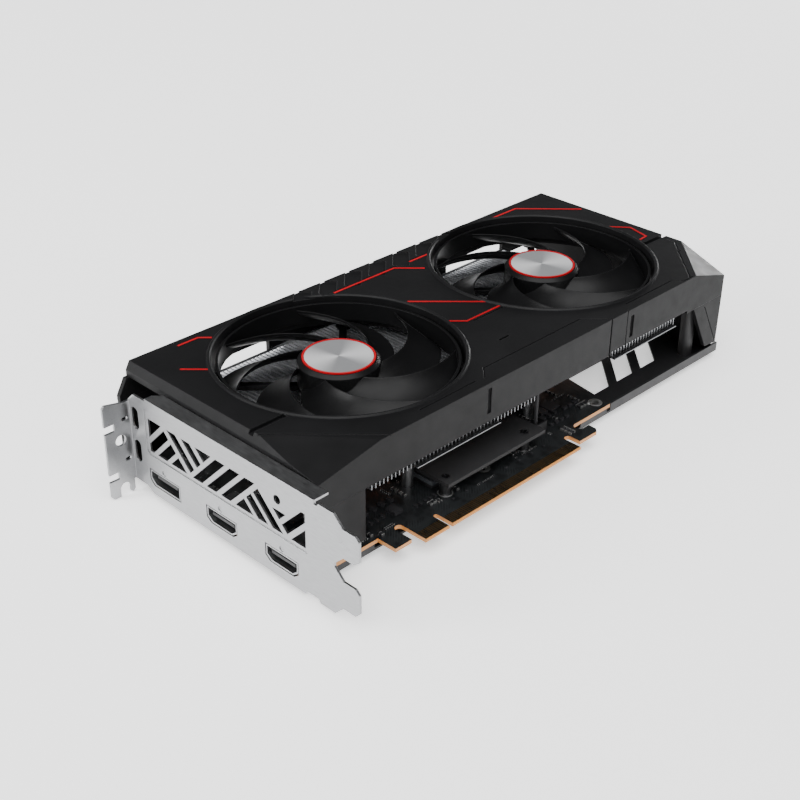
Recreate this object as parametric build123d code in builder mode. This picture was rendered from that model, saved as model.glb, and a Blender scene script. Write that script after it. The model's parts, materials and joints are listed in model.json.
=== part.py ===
"""Dual-fan graphics card, built as separate pieces in one frame.

Datum: the origin is where the bracket's outer face, the edge connector's lower edge and the
board's component face meet. +X runs from the bracket to the tail, +Y up the card from the
connector, and +Z out of the component face, the way the fans face. Millimetres.
"""

from build123d import *
from math import cos, radians, sin, sqrt
import os

os.makedirs("parts", exist_ok=True)

# ---------------------------------------------------------------- driving dimensions
CARD_LENGTH = 242.8
TAIL_CORNER_X = 239.3
BOARD_LENGTH = 165.5
BOARD_LEFT = 2.5
BOARD_TOP = 105.0
BOARD_EDGE = 12.4
BOARD_THICK = 1.57

DECK_Z = 40.0
DECK_THICK = 2.0
SHROUD_LEFT = 2.0
DECK_LEFT = 6.9
SHROUD_FRONT = 11.5
SHROUD_BACK = 115.2
FRONT_WALL_LOW = 24.0
BACK_WALL_LOW = 26.0
BACK_APRON_LOW = 18.0
BACK_OPENINGS = ((1, 73), (176, 214))
BACK_APRONS = ((73, 176), (214, 238))
WALL = 2.0

FAN_Y = 66.5
FAN_X = {"front": 67.5, "rear": 184.5}
TUNNEL_R = 46.9
RIM_R = 48.5
RIM_Z = 40.6
TUNNEL_LOW = 27.4
FOOT_R = 51.0
FOOT_ANGLES = (45, 135, 225, 315)

IMPELLER_R = 45.3
IMPELLER_RING = 1.0
HUB_R = 15.6
HUB_TOP = 37.8
HUB_LOW = 27.2
BLADE_COUNT = 7
BLADE_TOP = 36.6
BLADE_LOW = 28.0
SHAFT_R = 1.5
SHAFT_CLEARANCE = 0.05

FIN_TOP = 23.6
FIN_LOW = 13.4
FIN_PITCH = 1.9
FIN_THICK = 0.45
PIPE_R = 3.0
PIPE_Z = 10.2

BACKPLATE_TOP = -3.4
BACKPLATE_THICK = 1.0
LIP_HIGH = -0.4
LIP_Y = 12.6

BRACKET_THICK = 0.9
BRACKET_LOW = -4.2
BRACKET_HIGH = 35.5
TAB_Y = 105.5
VENT_LOW = 14.5
VENT_HIGH = 28.0
VENT_PITCH = 7.72
VENT_WIDTH = 5.15

GPU_X = 84.0
GPU_Y = 58.0

CONTACT_PITCH = 1.0
CONTACT_WIDTH = 0.7
CONTACT_THICK = 0.06

FRONT_X = FAN_X["front"]
REAR_X = FAN_X["rear"]
FOOT_STEP = FOOT_R / sqrt(2)
FOOT_SPOTS = [
    (x + FOOT_R * cos(radians(a)), FAN_Y + FOOT_R * sin(radians(a)))
    for x in FAN_X.values()
    for a in FOOT_ANGLES
]


def save(part, name):
    """Label a finished piece and write it as parts/NAME.step."""
    part.label = name
    export_step(part, f"parts/{name}.step")


def block(x0, x1, y0, y1, z0, z1, mode=Mode.ADD):
    """A box between two corners, added to the part being built."""
    with BuildSketch(Plane.XY.offset(z0), mode=Mode.PRIVATE) as face:
        with Locations(((x0 + x1) / 2, (y0 + y1) / 2)):
            Rectangle(x1 - x0, y1 - y0)
    extrude(face.sketch, amount=z1 - z0, mode=mode)


def disc(x, y, radius, z0, z1, mode=Mode.ADD):
    """An upright cylinder, added to the part being built."""
    with BuildSketch(Plane.XY.offset(z0), mode=Mode.PRIVATE) as face:
        with Locations((x, y)):
            Circle(radius)
    extrude(face.sketch, amount=z1 - z0, mode=mode)


def prism(points, z0, z1, mode=Mode.ADD):
    """An upright prism on a closed outline, added to the part being built."""
    with BuildSketch(Plane.XY.offset(z0), mode=Mode.PRIVATE) as face:
        with BuildLine():
            Polyline(*points, close=True)
        make_face()
    extrude(face.sketch, amount=z1 - z0, mode=mode)


# ---------------------------------------------------------------- printed circuit board
HOOK_LEFT, HOOK_RIGHT, HOOK_LOW = 34.5, 42.4, 3.8
SLOT_LEFT, SLOT_TOP = 45.9, 11.6
KEY_LEFT, KEY_RIGHT, KEY_TOP = 57.6, 59.5, 7.6
CONTACT_END = 131.2
LATCH_LEFT, LATCH_RIGHT, LATCH_LOW = 134.2, 146.2, 3.0

BRACKET_HOLES = [(6.6, 38.6), (6.6, 70.5)]
POST_HOLES = [(162, 99), (136.3, 32.5), (65.6, 28.9), (30, 99)]
RING_HOLES = [(93.4, 16.8), (162, 17.3)]
COOLER_HOLES = [(GPU_X + sx * 20, GPU_Y + sy * 20) for sx in (-1, 1) for sy in (-1, 1)]


with BuildPart() as board:
    with BuildSketch(Plane.XY.offset(-BOARD_THICK)):
        with BuildLine():
            Polyline((BOARD_LEFT, BOARD_EDGE), (HOOK_LEFT, BOARD_EDGE), (HOOK_LEFT, HOOK_LOW),
                     (HOOK_RIGHT, HOOK_LOW), (HOOK_RIGHT, SLOT_TOP))
            ThreePointArc((HOOK_RIGHT, SLOT_TOP),
                          ((HOOK_RIGHT + SLOT_LEFT) / 2, SLOT_TOP + (SLOT_LEFT - HOOK_RIGHT) / 2),
                          (SLOT_LEFT, SLOT_TOP))
            Polyline((SLOT_LEFT, SLOT_TOP), (SLOT_LEFT, 0), (KEY_LEFT, 0), (KEY_LEFT, KEY_TOP))
            ThreePointArc((KEY_LEFT, KEY_TOP),
                          ((KEY_LEFT + KEY_RIGHT) / 2, KEY_TOP + (KEY_RIGHT - KEY_LEFT) / 2),
                          (KEY_RIGHT, KEY_TOP))
            Polyline((KEY_RIGHT, KEY_TOP), (KEY_RIGHT, 0), (CONTACT_END, 0), (CONTACT_END, KEY_TOP))
            ThreePointArc((CONTACT_END, KEY_TOP),
                          ((CONTACT_END + LATCH_LEFT) / 2, KEY_TOP + (LATCH_LEFT - CONTACT_END) / 2),
                          (LATCH_LEFT, KEY_TOP))
            Polyline((LATCH_LEFT, KEY_TOP), (LATCH_LEFT, LATCH_LOW), (LATCH_RIGHT - 1.6, LATCH_LOW),
                     (LATCH_RIGHT, LATCH_LOW + 1.6), (LATCH_RIGHT, 8.2), (142.8, 8.2))
            ThreePointArc((142.8, 8.2), (140.7, 10.3), (142.8, BOARD_EDGE))
            Polyline((142.8, BOARD_EDGE), (BOARD_LENGTH, BOARD_EDGE), (BOARD_LENGTH, BOARD_TOP),
                     (BOARD_LEFT, BOARD_TOP), (BOARD_LEFT, BOARD_EDGE))
        make_face()
    extrude(amount=BOARD_THICK)
    connector_edges = board.edges().filter_by(Axis.X).filter_by_position(Axis.Y, -0.1, 0.1)
    chamfer(connector_edges, 0.5)
    for x, y in BRACKET_HOLES + POST_HOLES + RING_HOLES:
        disc(x, y, 1.7, -BOARD_THICK - 1, 1, Mode.SUBTRACT)
    for x, y in COOLER_HOLES:
        disc(x, y, 1.5, -BOARD_THICK - 1, 1, Mode.SUBTRACT)
save(board.part, "circuit_board")


def contact_row(first, last):
    """Gold contacts on both faces, one pitch apart, between two x positions."""
    count = int((last - first) / CONTACT_PITCH)
    start = (first + last) / 2 - (count - 1) * CONTACT_PITCH / 2
    for z in (0, -BOARD_THICK - CONTACT_THICK):
        for i in range(count):
            x = start + i * CONTACT_PITCH
            block(x - CONTACT_WIDTH / 2, x + CONTACT_WIDTH / 2, 0.8, 5.2, z, z + CONTACT_THICK)


with BuildPart() as contacts:
    contact_row(SLOT_LEFT + 0.3, KEY_LEFT - 0.1)
    contact_row(KEY_RIGHT + 0.1, CONTACT_END - 0.3)
save(contacts.part, "edge_contacts")

# ---------------------------------------------------------------- processor, memory and power parts
with BuildPart() as package:
    block(GPU_X - 16, GPU_X + 16, GPU_Y - 16, GPU_Y + 16, 0, 1.4)
save(package.part, "processor_package")

with BuildPart() as die:
    block(GPU_X - 8, GPU_X + 8, GPU_Y - 6.5, GPU_Y + 6.5, 1.4, 2.2)
save(die.part, "processor_die")

MEMORY_SPOTS = [(GPU_X - 8, GPU_Y - 30.5), (GPU_X + 8, GPU_Y - 30.5),
                (GPU_X + 30.5, GPU_Y - 8), (GPU_X + 30.5, GPU_Y + 8)]
with BuildPart() as memory:
    for x, y in MEMORY_SPOTS:
        block(x - 6, x + 6, y - 7, y + 7, 0, 1.1)
save(memory.part, "memory_chips")

PLATE_LOW, PLATE_HIGH = 5.8, 7.2
PAD_TOP = 2.9
with BuildPart() as pads:
    for x, y in MEMORY_SPOTS:
        block(x - 6, x + 6, y - 7, y + 7, 1.1, PAD_TOP)
save(pads.part, "memory_thermal_pads")

POWER_X = 132.0
POWER_ROWS = [40 + 9.5 * i for i in range(6)]
with BuildPart() as inductors:
    for y in POWER_ROWS:
        block(POWER_X, POWER_X + 8, y - 4, y + 4, 0, 6)
    chamfer(inductors.edges().filter_by(Axis.Z), 1.0)
    chamfer(inductors.edges().group_by(Axis.Z)[-1], 0.4)
save(inductors.part, "power_inductors")

with BuildPart() as stages:
    for y in POWER_ROWS:
        block(POWER_X - 8, POWER_X - 2.5, y - 2.6, y + 2.6, 0, 0.9)
save(stages.part, "power_stages")

with BuildPart() as stage_pads:
    block(POWER_X - 8.5, POWER_X - 2.4, POWER_ROWS[0] - 4, POWER_ROWS[-1] + 4, 0.9, PAD_TOP)
save(stage_pads.part, "power_thermal_pads")

CAN_SPOTS = [(146, 42 + 10 * i) for i in range(5)] + [(156, 47 + 10 * i) for i in range(4)]
with BuildPart() as cans:
    for x, y in CAN_SPOTS:
        disc(x, y, 3.3, 0.8, 6.8)
        block(x - 3.4, x + 3.4, y - 3.4, y + 3.4, 0, 0.8)
    fillet(cans.edges().group_by(Axis.Z)[-1], 0.5)
save(cans.part, "capacitor_cans")

CHIP_ROWS = [
    (38, 19.5, 3, 3.0, (1.0, 1.7, 0.8)),
    (40, 24.5, 4, 4.2, (1.8, 2.4, 1.2)),
    (57, 15.8, 5, 2.4, (0.9, 1.6, 0.7)),
    (134.5, 17.5, 4, 3.1, (1.8, 1.3, 0.9)),
    (136, 22.5, 3, 3.4, (1.3, 2.2, 1.0)),
    (148, 22.0, 3, 3.2, (2.2, 1.4, 1.1)),
    (70, 10.2, 8, 7.3, (1.0, 0.6, 0.4)),
]
with BuildPart() as chips:
    for x0, y0, count, step, (dx, dy, dz) in CHIP_ROWS:
        for i in range(count):
            block(x0 + i * step, x0 + i * step + dx, y0, y0 + dy, 0, dz)
save(chips.part, "chip_components")

with BuildPart() as controllers:
    for x, y, w, d, h in ((146, 28, 6, 6, 0.9), (140, 27.4, 4, 4, 1.2), (22, 42, 6, 6, 1.0), (50, 20, 4, 5, 1.3)):
        block(x - w / 2, x + w / 2, y - d / 2, y + d / 2, 0, h)
save(controllers.part, "controller_chips")

# ---------------------------------------------------------------- power inlet and fan headers
INLET_X, INLET_Y = 149.0, 106.0
INLET_PITCH, INLET_DEEP, INLET_HIGH = 4.2, 13.0, 10.0
with BuildPart() as inlet:
    block(INLET_X - 9.4, INLET_X + 9.4, INLET_Y - INLET_DEEP, INLET_Y, 0.6, INLET_HIGH + 0.6)
    block(INLET_X - 3, INLET_X + 3, INLET_Y - 5, INLET_Y, INLET_HIGH + 0.6, INLET_HIGH + 2.2)
    for i in range(4):
        for j in range(2):
            x = INLET_X + (i - 1.5) * INLET_PITCH
            z = 3.4 + j * INLET_PITCH
            block(x - 1.7, x + 1.7, INLET_Y - 10.5, INLET_Y + 1, z - 1.7, z + 1.7, Mode.SUBTRACT)
    for x in (INLET_X - 9.4, INLET_X + 9.4 - 2.0):
        block(x, x + 2.0, INLET_Y - INLET_DEEP + 1, INLET_Y - 8, 0, 0.6)
save(inlet.part, "power_inlet")

with BuildPart() as inlet_pins:
    for i in range(4):
        for j in range(2):
            x = INLET_X + (i - 1.5) * INLET_PITCH
            z = 3.4 + j * INLET_PITCH
            block(x - 0.5, x + 0.5, INLET_Y - 10.5, INLET_Y - 3, z - 0.5, z + 0.5)
save(inlet_pins.part, "power_inlet_pins")

HEADER_SPOTS = [(29.0, 21.0), (126.2, 19.0)]
with BuildPart() as headers:
    for x, y in HEADER_SPOTS:
        block(x - 4, x + 4, y - 2.5, y + 2.5, 0, 5.2)
        block(x - 3.4, x + 3.4, y - 1.8, y + 1.8, 1.2, 5.2, Mode.SUBTRACT)
save(headers.part, "fan_headers")

# ---------------------------------------------------------------- display sockets
PORT_DEPTH, PORT_WALL, PORT_Z = 12.8, 0.5, 3.05
DISPLAY_Y = 86.6
HDMI_Y = (54.4, 22.9)
PORT_FACE = Plane(origin=(0.1, 0, 0), x_dir=(0, 1, 0), z_dir=(1, 0, 0))


def display_outline(y, grow):
    """The taller socket's corners: a rectangle with one lower corner cut off."""
    a, h, c = 8.1 + grow, 2.5 + grow, 2.2
    return [(y - a, PORT_Z - h), (y + a - c, PORT_Z - h), (y + a, PORT_Z - h + c),
            (y + a, PORT_Z + h), (y - a, PORT_Z + h)]


def hdmi_outline(y, grow):
    """The narrower socket's corners: a rectangle whose two lower corners are cut off."""
    a, h, c, s = 7.5 + grow, 2.5 + grow, 1.8, 2.4
    return [(y - a + s, PORT_Z - h), (y + a - s, PORT_Z - h), (y + a, PORT_Z - h + c),
            (y + a, PORT_Z + h), (y - a, PORT_Z + h), (y - a, PORT_Z - h + c)]


def through(plane, points, amount, mode=Mode.ADD):
    """A prism on a closed outline drawn on any plane, added to the part being built."""
    with BuildSketch(plane, mode=Mode.PRIVATE) as face:
        with BuildLine():
            Polyline(*points, close=True)
        make_face()
    extrude(face.sketch, amount=amount, mode=mode)


def port_shell(outline, y):
    """A thin metal shell, open at the bracket and closed at the back."""
    through(PORT_FACE, outline(y, PORT_WALL), PORT_DEPTH)
    through(PORT_FACE, outline(y, 0), PORT_DEPTH - 1.0, Mode.SUBTRACT)


with BuildPart() as display_shell:
    port_shell(display_outline, DISPLAY_Y)
save(display_shell.part, "displayport_shell")

with BuildPart() as hdmi_shells:
    for y in HDMI_Y:
        port_shell(hdmi_outline, y)
save(hdmi_shells.part, "hdmi_shells")

with BuildPart() as tongues:
    block(0.9, PORT_DEPTH - 0.9, DISPLAY_Y - 6.2, DISPLAY_Y + 5.6, PORT_Z + 0.1, PORT_Z + 1.3)
    for y in HDMI_Y:
        block(0.9, PORT_DEPTH - 0.9, y - 5.9, y + 5.9, PORT_Z - 0.2, PORT_Z + 1.0)
save(tongues.part, "socket_tongues")

# ---------------------------------------------------------------- slot bracket
FACE = Plane(origin=(0, 0, 0), x_dir=(0, 1, 0), z_dir=(1, 0, 0))
VENT_LEFT, VENT_RIGHT = 93.8, 10.4
VENT_SUM = 83.75
VENT_DIFF = 57.9
FLANGE_FROM, FLANGE_TO = 6.0, 95.0
FLANGE_REACH = 6.4
TONGUE_TIP = -14.5
TONGUES = ((-0.3, 10.4), (20.0, 30.8))


def band(low, high, slope):
    """Corners of the 45-degree strip between the lines y + slope * z = low and = high."""
    far = 60
    return [(low + slope * far, -far), (high + slope * far, -far),
            (high - slope * far, far), (low - slope * far, far)]


def vent(low, high, slope, y0, y1, cut=None):
    """One opening: a strip clipped to the panel, and optionally to a second strip."""
    with BuildSketch(FACE, mode=Mode.PRIVATE) as opening:
        with BuildLine():
            Polyline(*band(low, high, slope), close=True)
        make_face()
        with Locations(((y0 + y1) / 2, (VENT_LOW + VENT_HIGH) / 2)):
            Rectangle(y1 - y0, VENT_HIGH - VENT_LOW, mode=Mode.INTERSECT)
        if cut:
            with BuildLine():
                Polyline(*band(*cut), close=True)
            make_face(mode=Mode.INTERSECT)
    extrude(opening.sketch, amount=BRACKET_THICK, mode=Mode.SUBTRACT)


with BuildPart() as bracket:
    with BuildSketch(FACE):
        with BuildLine():
            Polyline((TAB_Y, 31.0), (102.0, BRACKET_HIGH - 1.0), (FLANGE_TO, BRACKET_HIGH - 0.9),
                     (FLANGE_TO, BRACKET_HIGH), (FLANGE_FROM, BRACKET_HIGH),
                     (FLANGE_FROM, BRACKET_HIGH - 1.7), (4.8, BRACKET_HIGH - 1.7),
                     (4.0, 34.9), (-3.0, 34.9), (-7.2, 30.8), (TONGUE_TIP + 1.6, 30.8),
                     (TONGUE_TIP, 29.2), (TONGUE_TIP, 21.6), (-12.0, 19.8), (-7.2, 19.8),
                     (-3.0, 15.7), (-3.0, 14.6), (-7.2, 10.5), (TONGUE_TIP + 1.8, 10.5),
                     (TONGUE_TIP, 8.8), (TONGUE_TIP, 1.6), (-12.6, -0.3), (-7.0, -0.3),
                     (-3.0, BRACKET_LOW), (4.0, BRACKET_LOW), (4.8, -2.8), (10.4, -2.8),
                     (11.4, BRACKET_LOW), (94.0, BRACKET_LOW), (98.6, -1.8), (TAB_Y, -1.8),
                     close=True)
        make_face()
    extrude(amount=BRACKET_THICK)
    # bent flange along the top edge, lying over the shroud's end
    with BuildSketch(Plane.XY.offset(BRACKET_HIGH - BRACKET_THICK)):
        with BuildLine():
            Polyline((0, FLANGE_FROM), (FLANGE_REACH, FLANGE_FROM), (FLANGE_REACH, FLANGE_TO - 3),
                     (FLANGE_REACH - 3, FLANGE_TO), (0, FLANGE_TO), close=True)
        make_face()
    extrude(amount=BRACKET_THICK)
    # bent tab with its screw hole, open screw notch and locating notches
    with BuildSketch(Plane(origin=(0, TAB_Y, 0), x_dir=(1, 0, 0), z_dir=(0, -1, 0))):
        with BuildLine():
            Polyline((BRACKET_THICK, 31.0), (-2.2, 31.0), (-10.4, 32.7), (-11.4, 31.7), (-11.4, 24.0), (-7.2, 24.0),
                     (-7.2, 20.9), (-11.4, 20.9), (-11.4, 3.6), (-7.2, 3.6), (-7.2, 0.6),
                     (-11.4, 0.6), (-11.4, -5.8), (-10.2, -7.1), (-7.3, -7.1), (-7.3, -4.1))
            ThreePointArc((-7.3, -4.1), (-5.1, -1.9), (-2.9, -4.1))
            Polyline((-2.9, -4.1), (-2.9, -6.4), (-1.9, -7.1), (-0.9, -6.0), (-0.9, -1.8),
                     (BRACKET_THICK, -1.8), (BRACKET_THICK, 31.0))
        make_face()
        with Locations((-5.05, 16.2)):
            Circle(2.2, mode=Mode.SUBTRACT)
        for x, z in ((-2.6, 24.4), (-2.6, 7.6)):
            with Locations((x, z)):
                SlotOverall(2.6, 1.4, mode=Mode.SUBTRACT)
    extrude(amount=BRACKET_THICK)
    # slots and screw hole through the face
    with BuildSketch(FACE):
        for z in (24.8, 11.1):
            with Locations((101.6, z)):
                SlotOverall(9.0, 3.9, rotation=90)
        with Locations((24.0, 27.0)):
            Circle(1.7)
    extrude(amount=BRACKET_THICK, mode=Mode.SUBTRACT)
    fillet(bracket.edges().filter_by(Axis.X).filter_by_position(Axis.Y, -16, -11.9), 0.7)
    # a shallow pressed line frames the vent panel
    with BuildSketch(FACE):
        with BuildLine():
            Polyline((95.4, 31.0), (95.4, 14.2), (94.4, 13.0), (9.8, 13.0))
        trace(line_width=0.8)
    extrude(amount=0.3, mode=Mode.SUBTRACT)
    # middle row of slanted openings
    for i in range(3):
        low = VENT_SUM - VENT_WIDTH - i * VENT_PITCH
        vent(low, low + VENT_WIDTH, 1, 30.0, 72.0)
    # chevrons at the tab end: strips leaning one way up to the diagonal, then the other way
    for low, high in ((106.3, 111.4), (98.5, 103.8), (60, 96)):
        vent(low, high, 1, 72.0, VENT_LEFT, (VENT_DIFF, 120, -1))
    vent(114.1, 140, 1, 84.0, VENT_LEFT)
    for low, high in ((50.0, 54.8), (42.0, 46.8), (30, 39)):
        vent(low, high, -1, 58.0, 84.0, (86.2, 140, 1))
    # the same at the connector end
    for low, high in ((22.0, 40.0), (14.4, 19.6), (6.9, 12.1)):
        vent(low, high, -1, 20.0, 46.0, (-20, 60.4, 1))
    vent(35.0, 40.2, 1, VENT_RIGHT, 24.0, (-20, 3.9, -1))
    vent(20.0, 32.1, 1, VENT_RIGHT, 18.0)
    through(FACE, [(26.6, 22.9), (20.0, 22.9), (23.3, 19.6)], BRACKET_THICK, Mode.SUBTRACT)
    # socket openings
    through(FACE, display_outline(DISPLAY_Y, PORT_WALL + 0.4), BRACKET_THICK, Mode.SUBTRACT)
    for y in HDMI_Y:
        through(FACE, hdmi_outline(y, PORT_WALL + 0.4), BRACKET_THICK, Mode.SUBTRACT)
    # a pressed dimple over each socket
    with BuildSketch(FACE):
        with Locations((86.6, 8.0), (54.9, 8.0), (22.7, 8.0)):
            Circle(1.1)
    extrude(amount=0.3, mode=Mode.SUBTRACT)
    # two ears bent back over the board, each held down by a screw
    for x, y in BRACKET_HOLES:
        block(0.4, x + 4, y - 4, y + 4, 0.02, 0.92)
        disc(x, y, 1.6, 0, 1, Mode.SUBTRACT)
save(bracket.part, "slot_bracket")

with BuildPart() as bracket_screws:
    for x, y in BRACKET_HOLES:
        disc(x, y, 2.6, 0.92, 2.2)
        disc(x, y, 1.3, -2.6, 0.92)
save(bracket_screws.part, "bracket_screws")

# ---------------------------------------------------------------- backplate and its fasteners
TAIL_POST = (229, 20)
BOSS_LOW = 30.0
WINDOW_RUN = 21.0
WINDOW_ROWS = ((25.0, 1), (50.0, -1), (75.0, 1))
FIRST_WINDOW = [(172, 25.0), (181.8, 25.0), (198.4, 41.6), (175, 41.6)]
WINDOWS = ((170.6, 181.8), (187.5, 198.1), (204.0, 214.1))

with BuildPart() as backplate:
    block(2, CARD_LENGTH - 0.1, LIP_Y, 114.8, BACKPLATE_TOP - BACKPLATE_THICK, BACKPLATE_TOP)
    chamfer(backplate.edges().filter_by(Axis.Z).group_by(Axis.Y)[-1], 2.0)
    # folded lip along the connector edge, lower where it passes under the board
    block(166.4, CARD_LENGTH - 0.1, LIP_Y, LIP_Y + 0.9, BACKPLATE_TOP, LIP_HIGH)
    for x0, x1 in ((3.5, 33), (147, 164)):
        block(x0, x1, LIP_Y, LIP_Y + 0.9, BACKPLATE_TOP, -BOARD_THICK - 0.1)
    # slanted windows behind the fins that reach past the board
    for y0, lean in WINDOW_ROWS:
        near, far = (0, WINDOW_RUN) if lean > 0 else (WINDOW_RUN, 0)
        for x0, x1 in WINDOWS if y0 > FIRST_WINDOW[0][1] else WINDOWS[1:]:
            prism([(x0 + near, y0), (x1 + near, y0), (x1 + far, y0 + WINDOW_RUN),
                   (x0 + far, y0 + WINDOW_RUN)], BACKPLATE_TOP - 2, BACKPLATE_TOP + 1, Mode.SUBTRACT)
    prism(FIRST_WINDOW, BACKPLATE_TOP - 2, BACKPLATE_TOP + 1, Mode.SUBTRACT)
    # spacers up to the board, and holes for the screws
    for x, y in POST_HOLES:
        disc(x, y, 3.2, BACKPLATE_TOP, -BOARD_THICK - 0.02)
        disc(x, y, 1.5, BACKPLATE_TOP - 2, 0, Mode.SUBTRACT)
    for x, y in COOLER_HOLES:
        disc(x, y, 4.2, BACKPLATE_TOP - 2, BACKPLATE_TOP + 1, Mode.SUBTRACT)
    disc(*TAIL_POST, 1.5, BACKPLATE_TOP - 2, BACKPLATE_TOP + 1, Mode.SUBTRACT)
save(backplate.part, "backplate")

HEAD_LOW = -5.3
with BuildPart() as backplate_screws:
    for x, y in POST_HOLES:
        disc(x, y, 2.7, HEAD_LOW, BACKPLATE_TOP - BACKPLATE_THICK)
        disc(x, y, 1.3, BACKPLATE_TOP - BACKPLATE_THICK, 4)
        disc(x, y, 1.0, HEAD_LOW, HEAD_LOW + 0.4, Mode.SUBTRACT)
save(backplate_screws.part, "backplate_screws")

FIN_STEP_Y, FIN_STEP_Z = 45.0, 18.8
with BuildPart() as posts:
    for x, y in POST_HOLES:
        disc(x, y, 2.3, 0, FIN_LOW if y > FIN_STEP_Y else FIN_STEP_Z)
        disc(x, y, 1.35, -0.1, 4.2, Mode.SUBTRACT)
save(posts.part, "standoff_posts")

# ---------------------------------------------------------------- cooler
BASE_LOW, BASE_TOP = 2.2, 8.6
PIPE_ROWS = (
    (46.0, ((36, 54), (50, 46), (114, 46), (130, 52), (206, 52))),
    (58.0, ((36, 62), (52, 58), (116, 58), (134, 61), (206, 61))),
    (70.0, ((36, 92), (54, 70), (114, 70), (132, 88), (206, 88))),
)

with BuildPart() as base:
    block(GPU_X - 23, GPU_X + 23, GPU_Y - 23, GPU_Y + 23, BASE_LOW, BASE_TOP)
    for x, y in COOLER_HOLES:
        disc(x, y, 2.4, 0.02, BASE_LOW)
        disc(x, y, 1.35, 0, BASE_LOW + 3, Mode.SUBTRACT)
    for y, _ in PIPE_ROWS:
        with BuildSketch(Plane(origin=(GPU_X - 24, y, PIPE_Z), x_dir=(0, 1, 0), z_dir=(1, 0, 0))):
            Circle(PIPE_R)
    extrude(amount=48, mode=Mode.SUBTRACT)
save(base.part, "cooler_base")

with BuildPart() as pipes:
    for _, route in PIPE_ROWS:
        with BuildLine() as path:
            FilletPolyline(*[(x, y, PIPE_Z) for x, y in route], radius=14)
        with BuildSketch(Plane(origin=path.line @ 0, z_dir=path.line % 0)):
            Circle(PIPE_R)
        sweep()
save(pipes.part, "heat_pipes")

SCREW_LOW, SPRING_LOW, SPRING_TURN = -5.0, -4.2, 0.85
with BuildPart() as cooler_screws:
    for x, y in COOLER_HOLES:
        disc(x, y, 2.7, SCREW_LOW, SPRING_LOW)
        disc(x, y, 1.3, SPRING_LOW, BASE_LOW + 2.8)
        disc(x, y, 1.0, SCREW_LOW, SCREW_LOW + 0.4, Mode.SUBTRACT)
save(cooler_screws.part, "cooler_screws")

with BuildPart() as springs:
    for x, y in COOLER_HOLES:
        with BuildLine() as coil:
            Helix(pitch=SPRING_TURN, height=2.0, radius=2.0, center=(x, y, SPRING_LOW + 0.3))
        with BuildSketch(Plane(origin=coil.line @ 0, z_dir=coil.line % 0)):
            Circle(0.27)
        sweep()
save(springs.part, "cooler_springs")

PLATE_SCREWS = [(71.5, 15.4), (115, 15.4)]
with BuildPart() as memory_plate:
    prism([(68.0, 10.6), (121.8, 10.6), (121.8, 75), (107.6, 75), (107.6, 34.6), (68.0, 34.6)],
          PLATE_LOW, PLATE_HIGH)
    for x, y in MEMORY_SPOTS:
        block(x - 5.6, x + 5.6, y - 6.6, y + 6.6, PAD_TOP, PLATE_LOW)
    for x, y in PLATE_SCREWS:
        disc(x, y, 1.6, PLATE_LOW - 1, PLATE_HIGH + 1, Mode.SUBTRACT)
save(memory_plate.part, "memory_heat_plate")

with BuildPart() as plate_screws:
    for x, y in PLATE_SCREWS:
        disc(x, y, 2.3, 0, PLATE_LOW)
        disc(x, y, 1.5, PLATE_LOW, PLATE_HIGH - 0.1)
        disc(x, y, 0.8, PLATE_HIGH - 1.2, PLATE_HIGH, Mode.SUBTRACT)
save(plate_screws.part, "plate_screws")

with BuildPart() as power_plate:
    block(123.6, 129.6, POWER_ROWS[0] - 4, POWER_ROWS[-1] + 4, PAD_TOP, PLATE_HIGH)
save(power_plate.part, "power_heat_plate")

FIN_SPANS = {"front": (34.0, 46), "rear": (129.4, 43)}
# fins by number: the first that reaches the front wall, and the two ends of the folded strip
FIN_REACHES = {"front": 0, "rear": 20}
FIN_STRIPS = {"front": (11, 34), "rear": (20, 42)}
FIN_FRONT, FIN_SHORT, FIN_BACK = 15.0, 26.0, 110.0
for side, (start, count) in FIN_SPANS.items():
    end = start + (count - 1) * FIN_PITCH
    with BuildPart() as fins:
        for i in range(count):
            x = start + i * FIN_PITCH
            front = FIN_FRONT if i >= FIN_REACHES[side] else FIN_SHORT
            through(Plane(origin=(x, 0, 0), x_dir=(0, 1, 0), z_dir=(1, 0, 0)),
                    [(front, FIN_STEP_Z), (FIN_STEP_Y, FIN_STEP_Z), (FIN_STEP_Y + 4, FIN_LOW),
                     (FIN_BACK, FIN_LOW), (FIN_BACK, FIN_TOP), (front, FIN_TOP)], FIN_THICK)
        for y0, y1 in ((50, 54), (57, 65), (84, 92)):
            block(start, end, y0, y1, FIN_LOW, FIN_LOW + 0.4)
        first, last = (start + i * FIN_PITCH for i in FIN_STRIPS[side])
        block(first, last, FIN_FRONT - 1.6, FIN_FRONT + 1.4, FIN_STEP_Z, FIN_STEP_Z + 0.4)
        block(start, end, FIN_BACK - 1.2, FIN_BACK, FIN_TOP - 0.4, FIN_TOP)
    save(fins.part, f"{side}_fin_stack")

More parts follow.
